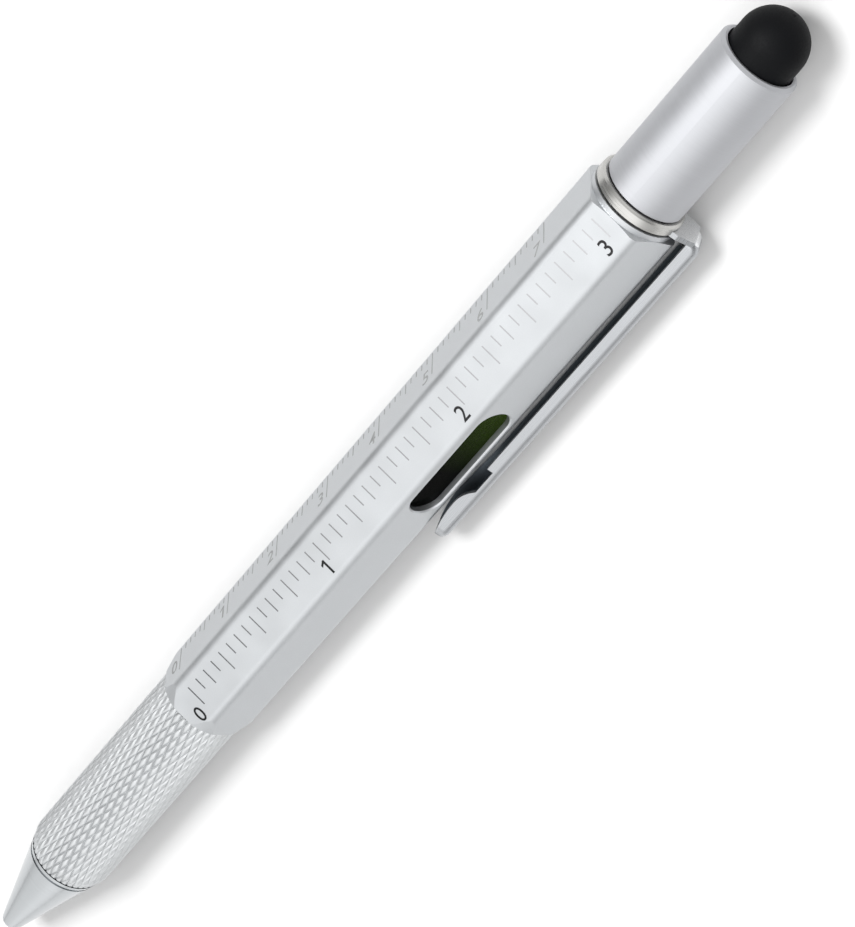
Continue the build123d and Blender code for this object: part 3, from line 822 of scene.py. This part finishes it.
class PEN_OT_studio(Operator):
    """Set up the floor, the lamp, the room light and the camera"""

    bl_idname = "pen.studio"
    bl_label = "Studio"

    def execute(self, context):
        settings = context.scene.pen_studio
        self.make_floor(settings)
        self.make_room(context, settings)
        self.hang_lamp(context, settings)
        self.place_camera(context, settings)
        context.scene.view_settings.view_transform = "Standard"
        return {"FINISHED"}

    def make_floor(self, settings):
        paper, tree, shader = new_finish("floor_paper", settings.floor_colour, 0.9)
        grain = noise(tree, spot(tree), 0.8 * MM, detail=4.0)
        dark, light = (shaded(settings.floor_colour, share) for share in (0.995, 1.005))
        tone = blend_colours(tree, span(tree, grain, 0.0, 1.0), dark, light)
        tree.links.new(tone, shader.inputs["Base Color"])
        tree.links.new(span(tree, grain, 0.88, 0.94), shader.inputs["Roughness"])
        path = add(tree, "ShaderNodeLightPath")
        seen = total(tree, path.outputs["Is Camera Ray"], path.outputs["Is Glossy Ray"], "MAXIMUM")
        seen = total(tree, seen, path.outputs["Is Transmission Ray"], "MAXIMUM")
        lift = total(tree, seen, settings.floor_lift, "MULTIPLY")
        shader.inputs["Emission Color"].default_value = (1.0, 1.0, 1.0, 1.0)
        tree.links.new(lift, shader.inputs["Emission Strength"])
        work = bmesh.new()
        bmesh.ops.create_grid(work, x_segments=1, y_segments=1, size=settings.floor_size / 2)
        new_piece("floor", work, paper)

    def make_room(self, context, settings):
        room = bpy.data.worlds.new("room")
        room.use_nodes = True
        tree = room.node_tree
        tree.nodes.clear()
        sight = add(tree, "ShaderNodeTexCoord").outputs["Generated"]
        height = add(tree, "ShaderNodeSeparateXYZ", {"Vector": sight}).outputs["Z"]
        strength = span(tree, height, settings.horizon, settings.sky, 0.0, settings.sky_height)
        for part in ("ceiling", "front", "side", "rear"):
            towards, spread, glow = (
                getattr(settings, f"{part}_{value}") for value in ("sight", "spread", "glow")
            )
            strength = total(tree, strength, self.glow(tree, sight, towards, spread, glow))
        seen = add(tree, "ShaderNodeLightPath").outputs["Is Camera Ray"]
        strength = total(tree, strength, seen, "MAXIMUM")
        sockets = {"Color": (1.0, 1.0, 1.0, 1.0), "Strength": strength}
        light = add(tree, "ShaderNodeBackground", sockets)
        output = add(tree, "ShaderNodeOutputWorld")
        tree.links.new(light.outputs["Background"], output.inputs["Surface"])
        context.scene.world = room

    def glow(self, tree, sight, towards, spread, strength):
        """Extra light from round one direction of the room."""
        facing = along(tree, sight, Vector(towards).normalized())
        limits = {"Value": facing, "From Min": math.cos(spread), "To Max": strength}
        fade = add(tree, "ShaderNodeMapRange", limits, interpolation_type="SMOOTHSTEP")
        return fade.outputs["Result"]

    def hang_lamp(self, context, settings):
        lamp = bpy.data.lights.new("key_lamp", "AREA")
        lamp.shape = "SQUARE"
        lamp.size = settings.key_size
        lamp.energy = settings.key_power
        holder = bpy.data.objects.new("key_lamp", lamp)
        holder.location = settings.key_place
        aim = Vector((0, 0, AXIS_HEIGHT)) - Vector(settings.key_place)
        holder.rotation_mode = "QUATERNION"
        holder.rotation_quaternion = aim.to_track_quat("-Z", "Y")
        context.scene.collection.objects.link(holder)

    def place_camera(self, context, settings):
        camera = bpy.data.cameras.new("camera")
        camera.sensor_width = 36.0
        camera.sensor_fit = "AUTO"
        camera.lens = settings.lens
        camera.clip_start = 10 * MM
        holder = bpy.data.objects.new("camera", camera)
        holder.location = settings.camera_place
        sight = Vector(settings.camera_aim) - Vector(settings.camera_place)
        holder.rotation_mode = "QUATERNION"
        level = sight.to_track_quat("-Z", "Y")
        holder.rotation_quaternion = level @ Quaternion((0, 0, 1), settings.camera_roll)
        context.scene.collection.objects.link(holder)
        context.scene.camera = holder


class PEN_OT_barrel(Operator):
    """Give the barrel its satin finish"""

    bl_idname = "pen.barrel"
    bl_label = "Barrel"

    def execute(self, context):
        tones = context.scene.pen_finish
        dress("hex_barrel", blasted_metal("barrel_satin", tones.satin, roughness=0.45))
        return {"FINISHED"}


class PEN_OT_scales(Operator):
    """Print the inch and centimetre scales on two faces of the barrel"""

    bl_idname = "pen.scales"
    bl_label = "Scales"

    def execute(self, context):
        sizes = context.scene.pen_scale
        tones = context.scene.pen_finish
        ends = (sizes.inch_zero, sizes.inch_zero + sizes.inches * sizes.inch)
        ticks = printed_ink("tick_ink", tones.tick_near, tones.tick_far, *ends)
        numbers = printed_ink("number_ink", tones.number_near, tones.number_far, *ends)
        pale = printed_ink("pale_ink", tones.pale_near, tones.pale_far, *ends)
        self.print_inches(sizes, ticks, numbers)
        self.print_centimetres(sizes, pale)
        return {"FINISHED"}

    def print_inches(self, sizes, tick_ink, number_ink):
        parts = sizes.inch_parts
        steps = (parts // 4, parts // 8, 1)
        work = bmesh.new()
        for index in range(sizes.inches * parts + 1):
            place = sizes.inch_zero + index * sizes.inch / parts
            length = self.tick_length(index, steps, sizes.inch_ticks)
            self.tick(work, sizes, place, sizes.inch_start, length)
        self.lay(work, "inch_ticks", 0.0, tick_ink)
        work = bmesh.new()
        for index in range(sizes.inches + 1):
            place = sizes.inch_zero + index * sizes.inch - sizes.inch_number_steps[index]
            self.number(work, sizes, str(index), place, -sizes.inch_number_top)
        self.lay(work, "inch_numbers", 0.0, number_ink)

    def print_centimetres(self, sizes, ink):
        work = bmesh.new()
        for index in range(sizes.centimetres * 10 + 1):
            place = sizes.centimetre_zero + index * MM
            length = self.tick_length(index, (10, 5, 1), sizes.centimetre_ticks)
            self.tick(work, sizes, place, sizes.centimetre_start, length)
        self.lay(work, "centimetre_ticks", -FACE_TURN, ink)
        work = bmesh.new()
        for index in range(sizes.centimetres + 1):
            place = sizes.centimetre_zero + index * 10 * MM - sizes.centimetre_number_step
            top = -sizes.centimetre_number_top - index * sizes.centimetre_number_drift
            self.number(work, sizes, str(index), place, top)
        self.lay(work, "centimetre_numbers", -FACE_TURN, ink)

    def tick_length(self, index, steps, lengths):
        """The length that belongs to the widest step on which this tick falls."""
        return next(length for step, length in zip(steps, lengths) if index % step == 0)

    def tick(self, work, sizes, place, start, length):
        """One tick, from its start towards the numbers."""
        height = sizes.print_height + sizes.print_root
        middle = Matrix.Translation((place, start - length / 2, height / 2 - sizes.print_root))
        size = Matrix.Diagonal((sizes.tick_width, length, height, 1.0))
        bmesh.ops.create_cube(work, size=1.0, matrix=middle @ size)

    def number(self, work, sizes, digit, place, top):
        """One number, centred at that place with its top at that height."""
        text = bpy.data.curves.new("number", "FONT")
        text.body = digit
        text.offset = sizes.number_weight
        text.resolution_u = 4
        holder = bpy.data.objects.new("number", text)
        bpy.context.scene.collection.objects.link(holder)
        bpy.context.view_layer.update()
        depsgraph = bpy.context.evaluated_depsgraph_get()
        flat = bpy.data.meshes.new_from_object(holder.evaluated_get(depsgraph))
        bpy.data.objects.remove(holder)
        drawn = bmesh.new()
        drawn.from_mesh(flat)
        if digit == "1":
            self.flag(drawn, sizes)
        across = [v.co.x for v in drawn.verts]
        high = [v.co.y for v in drawn.verts]
        scale = sizes.number_height / (max(high) - min(high))
        middle = (max(across) + min(across)) / 2
        bmesh.ops.translate(drawn, vec=(-middle, -max(high), 0), verts=drawn.verts)
        bmesh.ops.scale(drawn, vec=(scale, scale, scale), verts=drawn.verts)
        bmesh.ops.translate(drawn, vec=(place, top, -sizes.print_root), verts=drawn.verts)
        body = bmesh.ops.extrude_face_region(drawn, geom=drawn.faces[:])
        raised = [e for e in body["geom"] if isinstance(e, bmesh.types.BMVert)]
        lift = sizes.print_height + sizes.print_root
        bmesh.ops.translate(drawn, vec=(0, 0, lift), verts=raised)
        drawn.to_mesh(flat)
        drawn.free()
        work.from_mesh(flat)
        bpy.data.meshes.remove(flat)
        bpy.data.curves.remove(text)

    def flag(self, drawn, sizes):
        """The short sloping stroke at the top of a one, sized from its bar's width."""
        left = min(v.co.x for v in drawn.verts)
        high = max(v.co.y for v in drawn.verts)
        bar = max(v.co.x for v in drawn.verts) - left
        length = sizes.flag_length * bar
        stroke = bmesh.ops.create_grid(drawn, x_segments=1, y_segments=1, size=0.5)["verts"]
        bmesh.ops.scale(drawn, vec=(length, bar, 1.0), verts=stroke)
        bmesh.ops.translate(drawn, vec=(left - length / 2, high - length, 0), verts=stroke)
        for corner in stroke:
            if corner.co.x > left - length / 2:
                corner.co.y += sizes.flag_rise * bar

    def lay(self, work, name, turn, ink):
        """Lay a flat drawing on the barrel's face at that turn."""
        bmesh.ops.transform(work, matrix=face_place(turn), verts=work.verts)
        bmesh.ops.recalc_face_normals(work, faces=work.faces)
        piece = new_piece(name, work, ink, smooth_angle=math.radians(30))
        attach(piece, "barrel")


class PEN_OT_grip(Operator):
    """Cut the grip's diamond knurl and close the sleeve round its bore"""

    bl_idname = "pen.grip"
    bl_label = "Grip"

    def execute(self, context):
        sizes = context.scene.pen_knurl
        low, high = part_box("grip")
        radius = high.z - AXIS_HEIGHT
        work = bmesh.new()
        self.draw_diamonds(work, sizes, low.x, high.x, radius)
        self.raise_diamonds(work, sizes, radius)
        self.trim(work, low.x, high.x, low.x + sizes.bevel_length)
        self.wrap(work, sizes, low.x + sizes.bevel_length, radius)
        self.close_bore(work, sizes, low.x, high.x)
        bmesh.ops.recalc_face_normals(work, faces=work.faces)
        colour = context.scene.pen_finish.knurled
        finish = turned_metal(
            "grip_knurl",
            colour,
            roughness=0.46,
            spacing=0.05 * MM,
            relief=0.0005 * MM,
        )
        # Painted shade in the grooves of the knurl.
        darken_grooves(finish, colour, sizes, radius, low.x)
        piece = new_piece("knurled_grip", work, finish, smooth_angle=math.radians(24))
        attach(piece, "grip_unit")
        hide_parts("grip")
        return {"FINISHED"}

    def draw_diamonds(self, work, sizes, front, rear, radius):
        """The unrolled grip's diamonds, drawn flat and joined at their edges."""
        width = WHOLE_TURN * radius / sizes.count
        columns = math.ceil((rear - front) / sizes.length) + 1
        diamond = Matrix.Scale(math.sqrt(2), 4) @ Matrix.Rotation(math.radians(45), 4, "Z")
        size = Matrix.Diagonal((sizes.length / 2, width / 2, 1.0, 1.0))
        for row in range(2 * sizes.count):
            for column in range(columns + 1):
                place = front + (column - (row % 2) / 2) * sizes.length
                matrix = Matrix.Translation((place, row * width / 2, 0)) @ size @ diamond
                bmesh.ops.create_grid(work, x_segments=1, y_segments=1, size=0.5, matrix=matrix)
        bmesh.ops.remove_doubles(work, verts=work.verts, dist=sizes.merge)

    def raise_diamonds(self, work, sizes, radius):
        """Lift each diamond: a sloping side, and a rounded shoulder above it."""
        tops = work.faces[:]
        for thickness, rise in ((sizes.flank, sizes.depth), (sizes.shoulder, sizes.crown)):
            bmesh.ops.inset_individual(
                work,
                faces=tops,
                thickness=thickness,
                depth=rise,
                use_even_offset=True,
            )
        groove = radius - sizes.depth - sizes.crown
        bmesh.ops.translate(work, vec=(0, 0, groove), verts=work.verts)

    def trim(self, work, front, rear, bevel_end):
        """Cut the sheet off at the grip's ends, and score it where the bevel ends."""
        for place, side, cut_off in ((front, -1, True), (rear, 1, True), (bevel_end, 1, False)):
            bmesh.ops.bisect_plane(
                work,
                geom=work.verts[:] + work.edges[:] + work.faces[:],
                plane_co=(place, 0, 0),
                plane_no=(side, 0, 0),
                clear_outer=cut_off,
            )

    def wrap(self, work, sizes, bevel_end, radius):
        """Bend the flat sheet round the pen's axis, narrower in front."""
        for vert in work.verts:
            reach = max(0.0, (bevel_end - vert.co.x) / sizes.bevel_length)
            height = vert.co.z - sizes.bevel * reach
            turn = vert.co.y / radius
            vert.co.y = -height * math.sin(turn)
            vert.co.z = AXIS_HEIGHT + height * math.cos(turn)
        bmesh.ops.remove_doubles(work, verts=work.verts, dist=sizes.merge / 2)

    def close_bore(self, work, sizes, front, rear):
        """From the knurl's front edge in to the bore and along it, and join it at the rear."""
        ends = {front: [], rear: []}
        for edge in work.edges:
            if edge.is_boundary:
                middle = (edge.verts[0].co.x + edge.verts[1].co.x) / 2
                ends[front if abs(middle - front) < abs(middle - rear) else rear].append(edge)
        stations = (
            (front, sizes.front_bore),
            (front + sizes.seat_length, sizes.front_bore),
            (front + sizes.seat_length, sizes.middle_bore),
            (rear - sizes.seat_length, sizes.middle_bore),
            (rear - sizes.seat_length, sizes.rear_bore),
            (rear, sizes.rear_bore),
        )
        loop = ends[front]
        for place, radius in stations:
            grown = bmesh.ops.extrude_edge_only(work, edges=loop)["geom"]
            for vert in (e for e in grown if isinstance(e, bmesh.types.BMVert)):
                spoke = Vector((0, vert.co.y, vert.co.z - AXIS_HEIGHT)).normalized() * radius
                vert.co = (place, spoke.y, AXIS_HEIGHT + spoke.z)
            loop = [e for e in grown if isinstance(e, bmesh.types.BMEdge)]
        bmesh.ops.bridge_loops(work, edges=loop + ends[rear])


class PEN_OT_nose(Operator):
    """Polish the nose cone"""

    bl_idname = "pen.nose"
    bl_label = "Nose cone"

    def execute(self, context):
        tones = context.scene.pen_finish
        polish = turned_metal(
            "nose_polish",
            tones.polished,
            roughness=0.15,
            spacing=0.1 * MM,
            relief=0.0003 * MM,
        )
        dress("nose_cone", polish)
        return {"FINISHED"}


class PEN_OT_level(Operator):
    """Finish the level: lens, vial, plug, liquid and holder"""

    bl_idname = "pen.level"
    bl_label = "Level"

    def execute(self, context):
        tones = context.scene.pen_finish
        lens = context.scene.pen_lens
        tint = clear_plastic(
            "lens_tint_and_painted_shade",
            lens.light,
            lens.roughness,
            lens.index,
            relief=0.0,
            clearness=lens.clearness,
            gloss=lens.gloss,
        )
        low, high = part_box("level_lens")
        # Painted shade on the lens, dark from its nose end and fading out towards the cap.
        darken_start(tint, lens.dark, low.x + lens.dark_share * (high.x - low.x), high.x)
        dress("level_lens", tint)
        dress("level_vial", clear_plastic("vial_clear", tones.vial, roughness=0.02, ior=1.49))
        dress("level_liquid", clear_plastic("liquid_green", tones.liquid, roughness=0.0, ior=1.34))
        dress("vial_plug", moulded_plastic("vial_plug_green", tones.vial_plug, roughness=0.3))
        dress("vial_carrier", moulded_plastic("carrier_black", tones.carrier, roughness=0.45))
        return {"FINISHED"}


class PEN_OT_mechanism(Operator):
    """Finish the twist mechanism: bush, cam sleeve, twist tube, plunger and pin"""

    bl_idname = "pen.mechanism"
    bl_label = "Twist mechanism"

    def execute(self, context):
        tones = context.scene.pen_finish
        dress("mechanism_bush", moulded_plastic("bush_grey", tones.bush, roughness=0.4))
        dress("cam_sleeve", moulded_plastic("cam_white", tones.cam, roughness=0.42))
        dress("twist_tube", turned_metal("tube_brass", tones.brass, roughness=0.24))
        dress("plunger", moulded_plastic("plunger_black", tones.plunger, roughness=0.42))
        dress("plunger_pin", turned_metal("pin_ground", tones.pin, roughness=0.2))
        return {"FINISHED"}


class PEN_OT_refill(Operator):
    """Finish the refill: tip, ball, tube, ink and follower"""

    bl_idname = "pen.refill"
    bl_label = "Refill"

    def execute(self, context):
        tones = context.scene.pen_finish
        tip = turned_metal(
            "tip_brass",
            tones.brass,
            roughness=0.16,
            spacing=0.05 * MM,
            relief=0.0004 * MM,
        )
        ball = blasted_metal(
            "ball_polished",
            tones.ball,
            roughness=0.12,
            grain=0.02 * MM,
            relief=0.0002 * MM,
        )
        grease = clear_plastic("follower_grease", tones.grease, roughness=0.2, ior=1.45)
        dress("refill_tip", tip)
        dress("refill_ball", ball)
        dress("refill_tube", clear_plastic("tube_milky", tones.refill, roughness=0.35, ior=1.5))
        dress("refill_ink", moulded_plastic("ink_thick", tones.ink, roughness=0.15))
        dress("refill_follower", grease)
        return {"FINISHED"}


class PEN_OT_collar(Operator):
    """Polish the collar and the clip"""

    bl_idname = "pen.collar"
    bl_label = "Collar and clip"

    def execute(self, context):
        tones = context.scene.pen_finish
        collar = turned_metal(
            "collar_polish",
            tones.collar,
            roughness=0.27,
            spacing=0.1 * MM,
            relief=0.0003 * MM,
        )
        dress("collar_ring", collar)
        polish = drawn_metal("clip_polish", tones.clip, roughness=0.26, relief=0.0003 * MM)
        sizes = context.scene.pen_clip
        # Painted shade inside the clip's channel, with a rougher surface there.
        dull_inside(polish, tones.clip_inside, roughness=0.5, sizes=sizes)
        # Painted highlight on the clip root's face that looks towards the cap.
        brighten_end(polish, tones.clip_end)
        dress("pocket_clip", polish)
        return {"FINISHED"}


class PEN_OT_cap(Operator):
    """Finish the cap, its insert and the stylus in its end"""

    bl_idname = "pen.cap"
    bl_label = "Cap and stylus"

    def execute(self, context):
        tones = context.scene.pen_finish
        dress("cap_tube", turned_metal("cap_satin", tones.cap, roughness=0.55, spacing=0.05 * MM))
        dress("cap_insert", turned_metal("insert_brass", tones.brass, roughness=0.22))
        plug = moulded_plastic("stylus_plug_black", tones.stylus_plug, roughness=0.4)
        dress("stylus_base", plug)
        rubber = moulded_plastic(
            "stylus_rubber",
            tones.rubber,
            roughness=0.62,
            grain=0.18 * MM,
            relief=0.006 * MM,
            Specular_IOR_Level=0.11,
        )
        dress("stylus_tip", rubber)
        return {"FINISHED"}


class PEN_OT_bit(Operator):
    """Finish the bit, its holder and the magnet"""

    bl_idname = "pen.bit"
    bl_label = "Driver bit"

    def execute(self, context):
        tones = context.scene.pen_finish
        dress("bit_holder", turned_metal("holder_steel", tones.holder, roughness=0.26))
        dress("bit_magnet", turned_metal("magnet_plate", tones.magnet, roughness=0.18))
        dress("driver_bit", drawn_metal("bit_satin", tones.steel, roughness=0.32))
        return {"FINISHED"}


class PEN_PT_panel(Panel):
    """The pen's pieces, in the order in which they are made"""

    bl_idname = "PEN_PT_panel"
    bl_label = "Multi Tool Pen"
    bl_space_type = "VIEW_3D"
    bl_region_type = "UI"
    bl_category = "Pen"

    def draw(self, context):
        for operator in OPERATORS:
            self.layout.operator(operator.bl_idname)
        for group in GROUPS:
            settings = getattr(context.scene, group)
            box = self.layout.box()
            for name in settings.__annotations__:
                box.prop(settings, name)


GROUPS = {
    "pen_studio": PenStudioSettings,
    "pen_knurl": PenKnurlSettings,
    "pen_scale": PenScaleSettings,
    "pen_lens": PenLensSettings,
    "pen_clip": PenClipSettings,
    "pen_finish": PenFinishSettings,
}
OPERATORS = (
    PEN_OT_studio,
    PEN_OT_barrel,
    PEN_OT_scales,
    PEN_OT_grip,
    PEN_OT_nose,
    PEN_OT_level,
    PEN_OT_mechanism,
    PEN_OT_refill,
    PEN_OT_collar,
    PEN_OT_cap,
    PEN_OT_bit,
)


def register():
    for group, settings in GROUPS.items():
        bpy.utils.register_class(settings)
        setattr(bpy.types.Scene, group, PointerProperty(type=settings))
    for operator in OPERATORS:
        bpy.utils.register_class(operator)
    bpy.utils.register_class(PEN_PT_panel)


def unregister():
    bpy.utils.unregister_class(PEN_PT_panel)
    for operator in reversed(OPERATORS):
        bpy.utils.unregister_class(operator)
    for group, settings in reversed(GROUPS.items()):
        delattr(bpy.types.Scene, group)
        bpy.utils.unregister_class(settings)


def main():
    register()
    bpy.ops.pen.studio()
    bpy.ops.pen.barrel()
    bpy.ops.pen.scales()
    bpy.ops.pen.grip()
    bpy.ops.pen.nose()
    bpy.ops.pen.level()
    bpy.ops.pen.mechanism()
    bpy.ops.pen.refill()
    bpy.ops.pen.collar()
    bpy.ops.pen.cap()
    bpy.ops.pen.bit()


if __name__ == "__main__":
    main()
